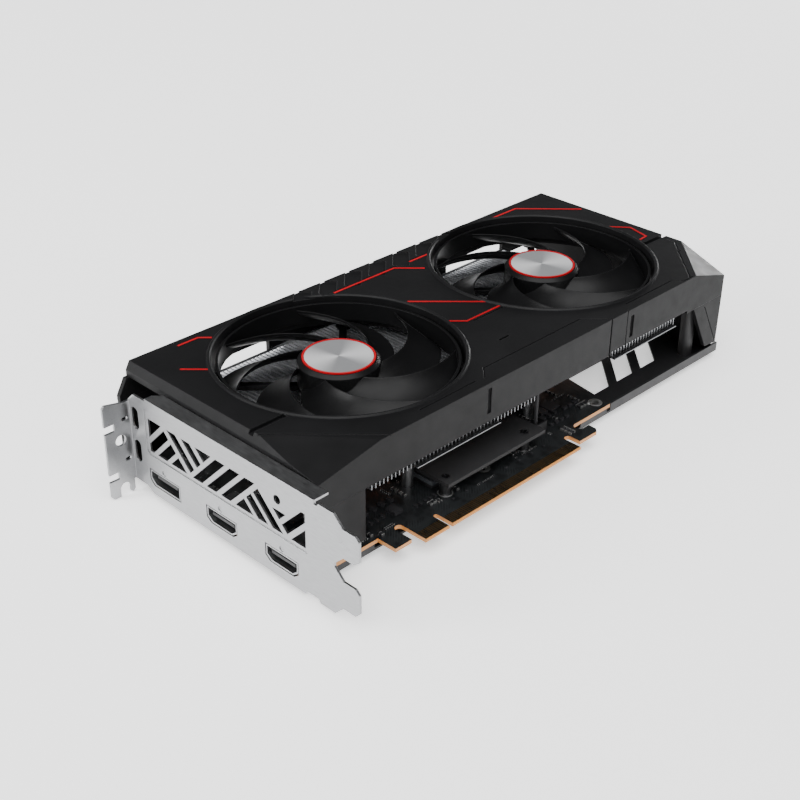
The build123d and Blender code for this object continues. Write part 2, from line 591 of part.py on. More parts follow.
# ---------------------------------------------------------------- shroud
BEVEL_X, BEVEL_Z = 8.7, 36.8
FLANGE_GAP = 34.3
LEFT_FACET = ((8.5, 43, DECK_Z), (35.6, SHROUD_FRONT, DECK_Z), (2, SHROUD_FRONT, 34))
TAIL_FACET = ((217.7, 12, DECK_Z), (CARD_LENGTH, 36.6, DECK_Z), (TAIL_CORNER_X, SHROUD_FRONT, 33.2))
TAIL_TAPER = ((CARD_LENGTH, 36.6, 0), (CARD_LENGTH, 36.6, DECK_Z), (TAIL_CORNER_X, SHROUD_FRONT, 0))
SEAM_WIDE, SEAM_DEEP = 0.5, 0.5
SEAMS = (
    ((58, 16), (87, 16)),
    ((91, 15.5), (96, 20.5), (152, 20.5), (160, 12.5)),
    ((175, 16), (206, 16), (210, 12.2), (216, 12.2)),
    ((94.7, 105), (155, 105)),
    ((8.5, 42.6), (39.6, 11.5)),
    ((234, 31), (232.4, 30.8), (214, 12.4)),
    ((240, 44.8), (240, 38), (233.6, 32)),
    ((121, 48.4), (139, 48.4)),
)
RIB_PITCH = 13.9
STRIPE_WIDE, STRIPE_HIGH = 0.9, 0.12
STRIPES = (
    ((28, 111.5), (37.4, 111.5), (41.2, 107.9)),
    ((17.6, 96.5), (25.2, 88.9)),
    ((100, 104), (134, 104), (143, 95)),
    ((143, 104), (155, 104)),
    ((115.4, 78), (138.6, 55)),
    ((114.6, 54.8), (119.6, 50), (138.4, 50)),
    ((204, 111), (219.3, 111), (240.5, 89.5)),
    ((232.8, 68.4), (239, 61), (236, 50.4), (231, 50)),
)


def plane_through(a, b, c):
    """The plane through three points, facing away from the shroud's middle."""
    normal = (Vector(*b) - Vector(*a)).cross(Vector(*c) - Vector(*a)).normalized()
    middle = Vector(CARD_LENGTH / 2, 60, 30) - Vector(*a)
    if normal.dot(middle) > 0:
        normal = normal * -1
    return Plane(origin=a, z_dir=normal)


with BuildPart() as shroud:
    block(SHROUD_LEFT, CARD_LENGTH, SHROUD_FRONT, SHROUD_BACK, FRONT_WALL_LOW, DECK_Z)
    for facet in (LEFT_FACET, TAIL_FACET, TAIL_TAPER,
                  ((BEVEL_X, 0, DECK_Z), (BEVEL_X, 50, DECK_Z), (DECK_LEFT, 0, BEVEL_Z))):
        split(bisect_by=plane_through(*facet), keep=Keep.BOTTOM)
    offset(amount=-WALL, openings=shroud.faces().sort_by(Axis.Z)[0], kind=Kind.INTERSECTION)
    # fan tunnels with raised rims
    for x in FAN_X.values():
        disc(x, FAN_Y, RIM_R, TUNNEL_LOW, RIM_Z)
        disc(x, FAN_Y, TUNNEL_R, TUNNEL_LOW - 1, RIM_Z + 1, Mode.SUBTRACT)
    rim_edges = shroud.edges().filter_by(GeomType.CIRCLE).filter_by_position(Axis.Z, RIM_Z - 0.01, RIM_Z + 0.01)
    chamfer(rim_edges, 0.5)
    # bosses for the fan frames' screws
    for x, y in FOOT_SPOTS:
        disc(x, y, 2.6, 26.3, DECK_Z - 1)
        disc(x, y, 1.1, 26.0, 34, Mode.SUBTRACT)
    disc(*TAIL_POST, 3.4, BOSS_LOW, 36.4)
    # the end at the bracket is open below its bevel, where the bracket's flange lies
    block(1, 8.2, SHROUD_FRONT + WALL, SHROUD_BACK - WALL, 20, FLANGE_GAP, Mode.SUBTRACT)
    block(1, DECK_LEFT, 5, SHROUD_BACK + 1, FLANGE_GAP, DECK_Z + 1, Mode.SUBTRACT)
    # the back wall stops higher than the front one
    for x0, x1 in BACK_OPENINGS:
        block(x0, x1, SHROUD_BACK - WALL - 1, SHROUD_BACK + 1, 20, BACK_WALL_LOW, Mode.SUBTRACT)
    # behind the fins the back wall comes lower, and the front wall is higher at the tail
    for x0, x1 in BACK_APRONS:
        block(x0, x1, SHROUD_BACK - WALL, SHROUD_BACK, BACK_APRON_LOW, BACK_WALL_LOW + 1)
    block(161.5, 213.5, SHROUD_FRONT - 1, SHROUD_FRONT + WALL + 1, 20, 25.2, Mode.SUBTRACT)
    # wide grooves from the rims to both ends, and the thin panel seams
    block(6, 23.3, 44.6, 46.9, DECK_Z - 1.4, DECK_Z + 1, Mode.SUBTRACT)
    block(228.6, CARD_LENGTH + 1, 44.6, 46.9, DECK_Z - 1.4, DECK_Z + 1, Mode.SUBTRACT)
    block(116.5, 122, 30.4, 31.4, DECK_Z - 0.8, DECK_Z + 1, Mode.SUBTRACT)
    for route in SEAMS:
        with BuildSketch(Plane.XY.offset(DECK_Z - SEAM_DEEP)):
            with BuildLine():
                Polyline(*route)
            trace(line_width=SEAM_WIDE)
        extrude(amount=2, mode=Mode.SUBTRACT)
    # slanted sawtooth ribs along the back edge
    lean = sqrt(0.5)
    for i in range(7):
        ridge = Plane(origin=(80 + i * RIB_PITCH, 106.4, DECK_Z), x_dir=(lean, -lean, 0), z_dir=(lean, lean, 0))
        through(ridge, [(0, 0.5), (0, -1.7), (RIB_PITCH * 0.62, 0.5)], 14, Mode.SUBTRACT)
    # slots and panel seam in the front wall
    for x, wide, z0, z1 in ((89.5, 2.0, 27.5, 37.7), (174, 2.2, 27.6, 37.1), (160.5, 0.8, 23, 41), (170.7, 0.5, 23, 41)):
        block(x - wide / 2, x + wide / 2, SHROUD_FRONT - 1, SHROUD_FRONT + 0.8, z0, z1, Mode.SUBTRACT)
save(shroud.part, "shroud")

with BuildPart() as stripes:
    for route in STRIPES:
        with BuildSketch(Plane.XY.offset(DECK_Z)):
            with BuildLine():
                Polyline(*route)
            trace(line_width=STRIPE_WIDE)
        extrude(amount=STRIPE_HIGH)
    for x in FAN_X.values():
        disc(x, FAN_Y, RIM_R + 0.1, DECK_Z - 1, DECK_Z + 1, Mode.SUBTRACT)
save(stripes.part, "accent_stripes")

with BuildPart() as skirt:
    block(2, 28, SHROUD_FRONT + 0.1, SHROUD_FRONT + 1.7, 3.5, FRONT_WALL_LOW)
    # the matching skirt at the back, a second moulding
    block(2, 30, SHROUD_BACK - WALL, SHROUD_BACK - 0.2, BACKPLATE_TOP + 0.6, BACK_WALL_LOW)
save(skirt.part, "io_side_skirt")

SIDE = Plane(origin=(0, SHROUD_FRONT + 0.1, 0), x_dir=(1, 0, 0), z_dir=(0, -1, 0))
with BuildPart() as leg:
    through(SIDE, [(218.7, FRONT_WALL_LOW), (239.5, FRONT_WALL_LOW), (239.1, 1.5), (231, 2.2)], -1.8)
    through(SIDE, [(226.6, 22.6), (227.1, 22.6), (238.5, 2.6), (238.0, 2.6)], -0.4, Mode.SUBTRACT)
    # the end wall that the leg stands on
    through(Plane(origin=(TAIL_CORNER_X - 1.2, 0, 0), x_dir=(0, 1, 0), z_dir=(1, 0, 0)),
            [(SHROUD_FRONT + 1.8, BACKPLATE_TOP), (46, BACKPLATE_TOP), (60, 8), (112.5, 8),
             (112.5, FRONT_WALL_LOW),
             (SHROUD_FRONT + 1.8, FRONT_WALL_LOW)], 1.0)
save(leg.part, "tail_leg")

with BuildPart() as tail_post:
    disc(*TAIL_POST, 3.0, BACKPLATE_TOP, BOSS_LOW)
    disc(*TAIL_POST, 1.3, BACKPLATE_TOP - BACKPLATE_THICK, BACKPLATE_TOP)
    disc(*TAIL_POST, 2.7, HEAD_LOW, BACKPLATE_TOP - BACKPLATE_THICK)
save(tail_post.part, "tail_post")

# ---------------------------------------------------------------- fans
FRAME_LOW, FRAME_TOP = 24.2, 25.2
SPOKE_TOP = 26.2
TUBE_R, BEARING_R = 4.2, 3.2
BLADE_RADII = (15.2, 21, 28, 36, 45.0)
SWEEP_ANGLE = 70.0
CHORD_ROOT, CHORD_TIP = 42.0, 34.0
BLADE_SKIN = 1.1
PHASE = {"front": 5.0, "rear": 20.0}


def blade_section(radius):
    """The plane and the four corners of one blade section, cut square to its radius."""
    share = (radius - BLADE_RADII[0]) / (IMPELLER_R - BLADE_RADII[0])
    chord = CHORD_ROOT + (CHORD_TIP - CHORD_ROOT) * share
    angle = radians(SWEEP_ANGLE * share ** 0.85 - chord / 2)
    half = radius * sin(radians(chord / 2))
    out = (cos(angle), sin(angle), 0)
    plane = Plane(origin=(radius * out[0], radius * out[1], 0), x_dir=(-out[1], out[0], 0), z_dir=out)
    high = BLADE_TOP - BLADE_SKIN
    low = BLADE_LOW
    bow = (high + low) / 2 - 0.8
    return plane, half, low, bow, high


with BuildPart() as blade:
    for radius in BLADE_RADII:
        plane, half, low, bow, high = blade_section(radius)
        with BuildSketch(plane):
            with BuildLine():
                Spline((-half, low), (0, bow), (half, high))
                Line((half, high), (half, high + BLADE_SKIN))
                Spline((half, high + BLADE_SKIN), (0, bow + BLADE_SKIN), (-half, low + BLADE_SKIN))
                Line((-half, low + BLADE_SKIN), (-half, low))
            make_face()
    loft()
    disc(0, 0, IMPELLER_R - 0.5, 0, 60, Mode.INTERSECT)

for side, x in FAN_X.items():
    with BuildPart() as frame:
        disc(x, FAN_Y, 15.2, FRAME_LOW, FRAME_TOP)
        disc(x, FAN_Y, TUBE_R, FRAME_TOP, 34.5)
        for a in FOOT_ANGLES:
            out = (cos(radians(a)), sin(radians(a)))
            with BuildSketch(Plane(origin=(x, FAN_Y, FRAME_LOW), x_dir=(*out, 0), z_dir=(0, 0, 1))):
                with Locations((FOOT_R / 2 + 6, 0)):
                    Rectangle(FOOT_R - 12, 3.0)
                with Locations((FOOT_R, 0)):
                    Circle(3.2)
            extrude(amount=SPOKE_TOP - FRAME_LOW)
        disc(x, FAN_Y, BEARING_R, FRAME_TOP, 40, Mode.SUBTRACT)
        for a in FOOT_ANGLES:
            fx = x + FOOT_R * cos(radians(a))
            fy = FAN_Y + FOOT_R * sin(radians(a))
            disc(fx, fy, 1.3, FRAME_LOW - 1, SPOKE_TOP + 1, Mode.SUBTRACT)
            disc(fx, fy, 2.4, FRAME_LOW - 1, FRAME_LOW + 1.1, Mode.SUBTRACT)
    save(frame.part, f"{side}_fan_frame")

    with BuildPart() as bearing:
        disc(x, FAN_Y, BEARING_R, FRAME_TOP, 34.3)
        disc(x, FAN_Y, SHAFT_R + SHAFT_CLEARANCE, FRAME_TOP - 1, 35, Mode.SUBTRACT)
    save(bearing.part, f"{side}_bearing")

    with BuildPart() as driver_board:
        disc(x, FAN_Y, 11.8, FRAME_TOP + 0.1, FRAME_TOP + 1.1)
        disc(x, FAN_Y, TUBE_R, FRAME_TOP - 1, FRAME_TOP + 2, Mode.SUBTRACT)
    save(driver_board.part, f"{side}_driver_board")

    with BuildPart() as stator:
        disc(x, FAN_Y, 6.4, 28.2, 33.6)
        with BuildSketch(Plane.XY.offset(28.2)):
            for a in range(0, 360, 60):
                with Locations(Location((x, FAN_Y, 0), (0, 0, a))):
                    with Locations((8.2, 0)):
                        Rectangle(4.6, 3.0)
                    with Locations((10.7, 0)):
                        Rectangle(1.0, 7.0)
        extrude(amount=5.4)
        disc(x, FAN_Y, TUBE_R, 28, 34, Mode.SUBTRACT)
    save(stator.part, f"{side}_stator")

    with BuildPart() as impeller:
        disc(x, FAN_Y, HUB_R, HUB_LOW, HUB_TOP)
        disc(x, FAN_Y, HUB_R - 1.0, HUB_LOW - 1, HUB_TOP - 1.1, Mode.SUBTRACT)
        chamfer(impeller.edges().filter_by(GeomType.CIRCLE).group_by(Axis.Z)[-1], 1.3)
        disc(x, FAN_Y, 3.4, 34.9, HUB_TOP)
        with Locations((x, FAN_Y, 0)):
            with PolarLocations(0, BLADE_COUNT, start_angle=PHASE[side]):
                add(blade.part)
        with BuildSketch(Plane.XY.offset(BLADE_TOP - 6)):
            with Locations((x, FAN_Y)):
                Circle(IMPELLER_R)
                Circle(IMPELLER_R - IMPELLER_RING, mode=Mode.SUBTRACT)
        extrude(amount=7.6)
        disc(x, FAN_Y, HUB_R - 1.0, HUB_LOW - 1, 34.5, Mode.SUBTRACT)
        disc(x, FAN_Y, SHAFT_R, 34, HUB_TOP - 0.6, Mode.SUBTRACT)
    save(impeller.part, f"{side}_impeller")

    with BuildPart() as shaft:
        disc(x, FAN_Y, SHAFT_R, FRAME_TOP + 0.2, HUB_TOP - 0.6)
    save(shaft.part, f"{side}_shaft")

    with BuildPart() as yoke:
        disc(x, FAN_Y, HUB_R - 1.0, 28.0, 36.6)
        disc(x, FAN_Y, HUB_R - 1.9, 27.0, 40, Mode.SUBTRACT)
    save(yoke.part, f"{side}_rotor_yoke")

    with BuildPart() as magnet:
        disc(x, FAN_Y, HUB_R - 1.9, 28.2, 34.2)
        disc(x, FAN_Y, HUB_R - 3.6, 27.0, 40, Mode.SUBTRACT)
    save(magnet.part, f"{side}_magnet_ring")

    with BuildPart() as badge:
        disc(x, FAN_Y, 12.9, HUB_TOP, HUB_TOP + 0.4)
    save(badge.part, f"{side}_hub_badge")

    with BuildPart() as badge_ring:
        disc(x, FAN_Y, 13.8, HUB_TOP, HUB_TOP + 0.5)
        disc(x, FAN_Y, 13.0, HUB_TOP - 1, HUB_TOP + 1, Mode.SUBTRACT)
    save(badge_ring.part, f"{side}_hub_ring")

with BuildPart() as fan_screws:
    for x, y in FOOT_SPOTS:
        disc(x, y, 2.2, FRAME_LOW + 0.1, FRAME_LOW + 1.1)
        disc(x, y, 1.05, FRAME_LOW + 1.1, 32)
save(fan_screws.part, "fan_screws")

# ---------------------------------------------------------------- fan leads
LEAD_R = 0.8
LEAD_ROUTES = {
    "front": ((61.8, 54.4, 26.2), (38.2, 30.8, 26.2), (31.5, 22.5, 25.4), (29, 21, 20), (29, 21, 1.3)),
    "rear": ((178.8, 54.4, 26.2), (157.5, 33, 26.2), (152, 23.5, 26), (129.4, 19.6, 26), (126.2, 19, 21),
             (126.2, 19, 1.3)),
}
for side, route in LEAD_ROUTES.items():
    with BuildPart() as lead:
        with BuildLine() as path:
            FilletPolyline(*route, radius=2.5)
        with BuildSketch(Plane(origin=path.line @ 0, z_dir=path.line % 0)):
            Circle(LEAD_R)
        sweep()
    save(lead.part, f"{side}_fan_lead")
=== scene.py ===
"""The look of the dual-fan graphics card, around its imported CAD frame.

Metres: +X from the bracket to the tail, +Y up the card, +Z out of the fans.
"""

import json
import math
import random

import bmesh
import bpy
from mathutils import Matrix, Vector
from mathutils.bvhtree import BVHTree

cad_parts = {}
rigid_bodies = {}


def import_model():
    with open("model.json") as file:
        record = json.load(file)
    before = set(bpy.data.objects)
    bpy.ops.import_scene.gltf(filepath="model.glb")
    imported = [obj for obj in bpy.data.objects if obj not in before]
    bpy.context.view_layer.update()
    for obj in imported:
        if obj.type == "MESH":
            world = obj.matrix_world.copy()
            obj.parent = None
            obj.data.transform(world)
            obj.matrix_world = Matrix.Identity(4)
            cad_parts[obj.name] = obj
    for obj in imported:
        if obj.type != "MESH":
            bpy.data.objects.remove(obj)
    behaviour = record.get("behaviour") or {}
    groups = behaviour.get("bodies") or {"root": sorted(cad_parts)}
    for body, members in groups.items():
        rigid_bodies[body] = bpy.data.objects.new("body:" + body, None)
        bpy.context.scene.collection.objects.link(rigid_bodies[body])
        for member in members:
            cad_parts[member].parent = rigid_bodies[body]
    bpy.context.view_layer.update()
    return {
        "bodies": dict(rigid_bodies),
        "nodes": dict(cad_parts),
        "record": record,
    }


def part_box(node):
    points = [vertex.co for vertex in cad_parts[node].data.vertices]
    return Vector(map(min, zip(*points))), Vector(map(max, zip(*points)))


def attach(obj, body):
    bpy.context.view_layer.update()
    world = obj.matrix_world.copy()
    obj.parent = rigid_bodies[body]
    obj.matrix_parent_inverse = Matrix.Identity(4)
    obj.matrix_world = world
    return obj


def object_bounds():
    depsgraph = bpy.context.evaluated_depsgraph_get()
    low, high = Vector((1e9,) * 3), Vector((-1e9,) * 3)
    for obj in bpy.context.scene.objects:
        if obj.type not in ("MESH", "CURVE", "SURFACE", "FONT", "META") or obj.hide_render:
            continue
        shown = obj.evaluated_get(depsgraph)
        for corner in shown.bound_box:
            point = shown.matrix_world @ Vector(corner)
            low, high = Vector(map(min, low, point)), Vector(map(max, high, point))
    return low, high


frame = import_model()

NODES = frame["nodes"]
MM = 0.001
SQUARE = ((-1, -1), (1, -1), (1, 1), (-1, 1))


def new_object(name, data):
    """An object of that data, linked into the scene."""
    made = bpy.data.objects.new(name, data)
    bpy.context.scene.collection.objects.link(made)
    return made


# ---------------------------------------------------------------- camera and light
CAMERA_AT = Vector((-0.23415, -0.26184, 0.27718))
CAMERA_FORWARD = Vector((0.61540, 0.60805, -0.50157)).normalized()
CAMERA_UP = Vector((0.35279, 0.35658, 0.86513))
LENS_MM = 61.63
SENSOR_MM = 36
LENS_SHIFT = (0.0038, 0.0014)


def add_camera():
    """The camera at the photograph's viewing angle."""
    data = bpy.data.cameras.new("camera")
    data.lens = LENS_MM
    data.sensor_width = SENSOR_MM
    data.shift_x, data.shift_y = LENS_SHIFT
    data.clip_start = 0.01
    camera = new_object("camera", data)
    right = CAMERA_FORWARD.cross(CAMERA_UP).normalized()
    up = right.cross(CAMERA_FORWARD)
    turn = Matrix((right, up, -CAMERA_FORWARD)).transposed().to_4x4()
    camera.matrix_world = Matrix.Translation(CAMERA_AT) @ turn
    bpy.context.scene.camera = camera


def add_area(name, place, target, size, watts):
    """One soft box aimed at a point."""
    data = bpy.data.lights.new(name, "AREA")
    data.shape = "RECTANGLE"
    data.size, data.size_y = size
    data.energy = watts
    lamp = new_object(name, data)
    lamp.location = place
    aim = Vector(target) - Vector(place)
    lamp.rotation_euler = aim.to_track_quat("-Z", "Y").to_euler()
    lamp.visible_camera = False


def add_sun(name, towards, spread, strength):
    """One very wide panel far away in that direction, even over the whole floor."""
    data = bpy.data.lights.new(name, "SUN")
    data.angle = math.radians(spread)
    data.energy = strength
    lamp = new_object(name, data)
    lamp.rotation_euler = Vector(towards).to_track_quat("Z", "Y").to_euler()


SKY_TINT = (0.97, 0.98, 1.0, 1)
HORIZON_TOP = 0.06
HORIZON_LIGHT = 0.85
DIM_SKY_FROM = 0.26
DIM_SKY_LIGHT = 0.07
CARD_MIDDLE = (0.12, 0.05, 0.02)
TAIL_FACET = (0.235, 0.03, 0.035)


def add_studio():
    """A pale horizon under a dim sky, one wide panel overhead and three soft boxes."""
    world = bpy.data.worlds.new("studio")
    bpy.context.scene.world = world
    world.use_nodes = True
    nodes, links = world.node_tree.nodes, world.node_tree.links
    sky = nodes["Background"]
    sky.inputs["Color"].default_value = SKY_TINT
    coords = nodes.new("ShaderNodeTexCoord")
    parts = nodes.new("ShaderNodeSeparateXYZ")
    links.new(coords.outputs["Generated"], parts.inputs["Vector"])
    fade = nodes.new("ShaderNodeMapRange")
    for key, value in (("From Min", HORIZON_TOP), ("From Max", DIM_SKY_FROM),
                       ("To Min", HORIZON_LIGHT), ("To Max", DIM_SKY_LIGHT)):
        fade.inputs[key].default_value = value
    links.new(parts.outputs["Z"], fade.inputs["Value"])
    links.new(fade.outputs["Result"], sky.inputs["Strength"])
    add_sun("sky_panel", towards=(-0.30, -0.28, 1.0), spread=70, strength=5.2)
    add_area("left", (-0.95, 0.65, 0.55), CARD_MIDDLE, size=(0.5, 0.7), watts=12)
    add_area("tail", (1.56, 0.45, 0.16), TAIL_FACET, size=(0.30, 0.14), watts=4)
    add_area("front", (0.3, -1.2, 0.45), CARD_MIDDLE, size=(0.9, 0.25), watts=3)


# ---------------------------------------------------------------- shader helpers
def shade(colour, factor):
    """A colour made lighter or darker by that factor."""
    return tuple(min(1.0, c * factor) for c in colour)


class Shader:
    """A material's node tree with short ways to add what these materials share."""

    def __init__(self, name):
        self.material = bpy.data.materials.new(name)
        self.material.use_nodes = True
        self.nodes = self.material.node_tree.nodes
        self.links = self.material.node_tree.links
        self.surface = self.nodes["Principled BSDF"]
        self.coords = self.nodes.new("ShaderNodeTexCoord")

    def add(self, kind, **inputs):
        """A new node; inputs are values or output sockets, with _ for a space in the name."""
        node = self.nodes.new(kind)
        for key, value in inputs.items():
            self.feed(node.inputs[key.replace("_", " ")], value)
        return node

    def feed(self, socket, value):
        """Link an output socket to this input, or set a constant on it."""
        if isinstance(value, bpy.types.NodeSocket):
            self.links.new(value, socket)
        else:
            socket.default_value = value

    def place(self, stretch=(1, 1, 1), turn=0.0):
        """Object coordinates, stretched and turned about Z."""
        node = self.add("ShaderNodeMapping", Vector=self.coords.outputs["Object"], Scale=stretch,
                        Rotation=(0, 0, turn))
        return node.outputs["Vector"]

    def noise(self, size, detail, stretch=(1, 1, 1)):
        """Noise whose features are about size metres across."""
        node = self.add("ShaderNodeTexNoise", Vector=self.place(stretch), Scale=1.0 / size,
                        Detail=detail)
        return node.outputs["Fac"]

    def between(self, value, low, high, start=0.0, end=1.0):
        """value from start..end mapped onto low..high."""
        node = self.add("ShaderNodeMapRange", Value=value, From_Min=start, From_Max=end, To_Min=low,
                        To_Max=high)
        return node.outputs["Result"]

    def math(self, kind, first, second=0.0):
        """One sum on one or two values."""
        node = self.nodes.new("ShaderNodeMath")
        node.operation = kind
        for socket, value in zip(node.inputs, (first, second)):
            self.feed(socket, value)
        return node.outputs["Value"]

    def blend(self, first, second, share):
        """share of the first pattern and the rest of the second."""
        return self.math("ADD", self.math("MULTIPLY", first, share),
                         self.math("MULTIPLY", second, 1 - share))

    def colour(self, value, low, high):
        """A colour between low and high, by value from 0 to 1."""
        node = self.nodes.new("ShaderNodeMix")
        node.data_type = "RGBA"
        factor, first, second = (socket for socket in node.inputs
                                 if socket.enabled and socket.type in ("VALUE", "RGBA"))
        self.links.new(value, factor)
        for socket, end in ((first, low), (second, high)):
            self.feed(socket, end if isinstance(end, bpy.types.NodeSocket) else (*end, 1))
        return next(socket for socket in node.outputs if socket.enabled and socket.type == "RGBA")

    def rounded(self, radius):
        """The normal of an edge broken to this radius."""
        node = self.add("ShaderNodeBevel", Radius=radius)
        node.samples = 4
        return node.outputs["Normal"]

    def edge_wear_and_highlight(self, rounded):
        """1 on a broken edge and 0 on a flat, from how far the rounded normal turns."""
        flat = self.nodes.new("ShaderNodeNewGeometry")
        dot = self.nodes.new("ShaderNodeVectorMath")
        dot.operation = "DOT_PRODUCT"
        self.links.new(flat.outputs["Normal"], dot.inputs[0])
        self.links.new(rounded, dot.inputs[1])
        return self.between(dot.outputs["Value"], 1.0, 0.0, 0.80, 0.985)

    def bump(self, height, depth, strength=1.0, below=None):
        """Bump of that depth in metres, over a rounded edge's normal if one is given."""
        node = self.add("ShaderNodeBump", Height=height, Strength=strength, Distance=depth)
        if below is not None:
            self.links.new(below, node.inputs["Normal"])
        return node.outputs["Normal"]

    def set(self, **inputs):
        """Inputs of the surface, named as in add; returns the material."""
        for key, value in inputs.items():
            self.feed(self.surface.inputs[key.replace("_", " ")], value)
        return self.material


# ---------------------------------------------------------------- materials
def moulded(name, base, rough, grain=0.00035, depth=0.00003, specular=0.5, edge=0.0):
    """Moulded plastic: fine spark-erosion grain, faint cloudiness and uneven gloss.

    With an edge radius in metres the corners are broken, and their colour is painted paler there as a
    painted highlight.
    """
    s = Shader(name)
    cloud = s.noise(0.03, 2)
    fine = s.noise(grain, 4)
    patch = s.noise(0.006, 3)
    tint = s.colour(s.between(cloud, 0, 1, 0.3, 0.7), shade(base, 0.8), shade(base, 1.2))
    gloss = s.between(s.blend(patch, fine, 0.7), rough - 0.07, rough + 0.07, 0.3, 0.7)
    below = None
    if edge:
        below = s.rounded(edge)
        # Painted highlight: the colour turns paler where the rounded normal turns along the broken
        # edges.
        tint = s.colour(s.edge_wear_and_highlight(below), tint, shade(base, 2.6))
    return s.set(Base_Color=tint, Roughness=gloss, Normal=s.bump(fine, depth, 0.6, below),
                 Specular_IOR_Level=specular)


ROLLED_DEPTH = 0.000008


def metal(name, base, rough, stretch=(1, 1, 1), size=0.0008, edge=0.0):
    """Bare metal: rolled or brushed lines, long where stretch is small, with faint handling marks.

    With an edge radius in metres the corners are broken and rubbed a little brighter.
    """
    s = Shader(name)
    lines = s.noise(size, 6, stretch)
    marks = s.noise(0.02, 3)
    tint = s.colour(s.between(lines, 0, 1, 0.25, 0.75), shade(base, 0.86), shade(base, 1.08))
    gloss = s.between(s.blend(lines, marks, 0.6), rough - 0.08, rough + 0.1, 0.3, 0.7)
    below = None
    if edge:
        below = s.rounded(edge)
        gloss = s.math("SUBTRACT", gloss, s.math("MULTIPLY", s.edge_wear_and_highlight(below), 0.12))
    return s.set(Base_Color=tint, Roughness=gloss, Normal=s.bump(lines, ROLLED_DEPTH, 0.7, below),
                 Metallic=1.0)


PADS_PER_METRE = 420.0
TRACK_SCALE = 330.0


def board_look():
    """Dark solder mask over square pads and slanted tracks, and orange laminate on the cut edges."""
    s = Shader("solder_mask")
    cells = s.add("ShaderNodeTexVoronoi", Vector=s.place(), Scale=PADS_PER_METRE)
    cells.distance = "CHEBYCHEV"
    pads = s.between(cells.outputs["Distance"], 0, 1, 0.36, 0.42)
    waves = s.add("ShaderNodeTexWave", Vector=s.place(turn=math.radians(45)), Scale=TRACK_SCALE)
    region = s.between(s.noise(0.012, 1), 0, 1, 0.5, 0.56)
    tracks = s.math("MULTIPLY", s.between(waves.outputs["Fac"], 0, 1, 0.55, 0.75), region)
    relief = s.math("MAXIMUM", s.math("MULTIPLY", pads, 0.5), tracks)
    mask = s.colour(relief, (0.006, 0.0065, 0.007), (0.015, 0.017, 0.018))
    laminate = s.colour(s.between(s.noise(0.0004, 4, (0.1, 0.1, 3)), 0, 1, 0.3, 0.7),
                        (0.42, 0.17, 0.045), (0.62, 0.28, 0.08))
    facing = s.add("ShaderNodeSeparateXYZ", Vector=s.coords.outputs["Normal"])
    edge = s.between(s.math("ABSOLUTE", facing.outputs["Z"]), 1, 0, 0.90, 0.95)
    gloss = s.between(relief, 0.32, 0.42)
    tint = s.colour(edge, mask, laminate)
    return s.set(Base_Color=tint, Roughness=gloss, Normal=s.bump(relief, 0.00004, 0.6))


# Painted highlight on the badge: its turn round the disc, and the shaded and highlighted ends of its
# colour.
BADGE_HIGHLIGHT_TURN = 2.4
BADGE_SHADED_TONE = (0.30, 0.305, 0.315)
BADGE_HIGHLIGHT_TONE = (0.97, 0.97, 0.98)
TOOL_LINES = 260.0


def spun_badge():
    """A disc of spun aluminium: concentric tool lines that throw radial highlights, and a painted
    highlight in two bright sectors of its colour.
    """
    s = Shader("badge_metal")
    parts = s.add("ShaderNodeSeparateXYZ", Vector=s.coords.outputs["Generated"])
    x = s.math("SUBTRACT", parts.outputs["X"], 0.5)
    y = s.math("SUBTRACT", parts.outputs["Y"], 0.5)
    radius = s.math("SQRT", s.math("ADD", s.math("MULTIPLY", x, x), s.math("MULTIPLY", y, y)))
    wave = s.add("ShaderNodeTexNoise", Scale=1.0, Detail=6.0)
    wave.noise_dimensions = "1D"
    s.feed(wave.inputs["W"], s.math("MULTIPLY", radius, TOOL_LINES))
    rings = wave.outputs["Fac"]
    # Painted highlight: the colour brightens in two opposite sectors by angle round the disc, as
    # radial glints would.
    angle = s.math("ARCTAN2", y, x)
    highlight_sweep = s.math("SINE", s.math("ADD", s.math("MULTIPLY", angle, 2.0), BADGE_HIGHLIGHT_TURN))
    painted_highlight_sector = s.between(highlight_sweep, 0, 1, -0.55, 1.0)
    highlight_and_rings = s.blend(painted_highlight_sector, s.between(rings, 0, 1, 0.3, 0.7), 0.75)
    tangent = s.add("ShaderNodeTangent")
    tangent.direction_type = "RADIAL"
    tangent.axis = "Z"
    return s.set(Base_Color=s.colour(highlight_and_rings, BADGE_SHADED_TONE, BADGE_HIGHLIGHT_TONE),
                 Roughness=s.between(rings, 0.19, 0.27), Normal=s.bump(rings, 0.000012, 0.5),
                 Metallic=0.55, Anisotropic=0.85, Tangent=tangent.outputs["Tangent"])


def braid():
    """The woven sleeve of a fan lead."""
    s = Shader("lead_sleeve")
    weave, cross = (s.add("ShaderNodeTexWave", Vector=s.place(turn=turn), Scale=520.0, Distortion=2.0)
                    for turn in (0.6, -0.6))
    cloth = s.math("MAXIMUM", weave.outputs["Fac"], cross.outputs["Fac"])
    tint = s.colour(cloth, (0.006, 0.006, 0.007), (0.03, 0.03, 0.032))
    return s.set(Base_Color=tint, Roughness=s.between(cloth, 0.5, 0.8), Normal=s.bump(cloth, 0.0001))


def pad_look():
    """Soft grey thermal pad with filler specks."""
    s = Shader("thermal_pad")
    speck = s.noise(0.0003, 5)
    tint = s.colour(s.between(speck, 0, 1, 0.4, 0.6), (0.06, 0.066, 0.075), (0.11, 0.12, 0.13))
    return s.set(Base_Color=tint, Roughness=s.between(speck, 0.7, 0.9),
                 Normal=s.bump(speck, 0.00006))


# Heights where the fins' painted shade ends and their painted light begins.
FIN_PAINTED_SHADE_BELOW = 0.0205
FIN_PAINTED_LIGHT_ABOVE = 0.0230


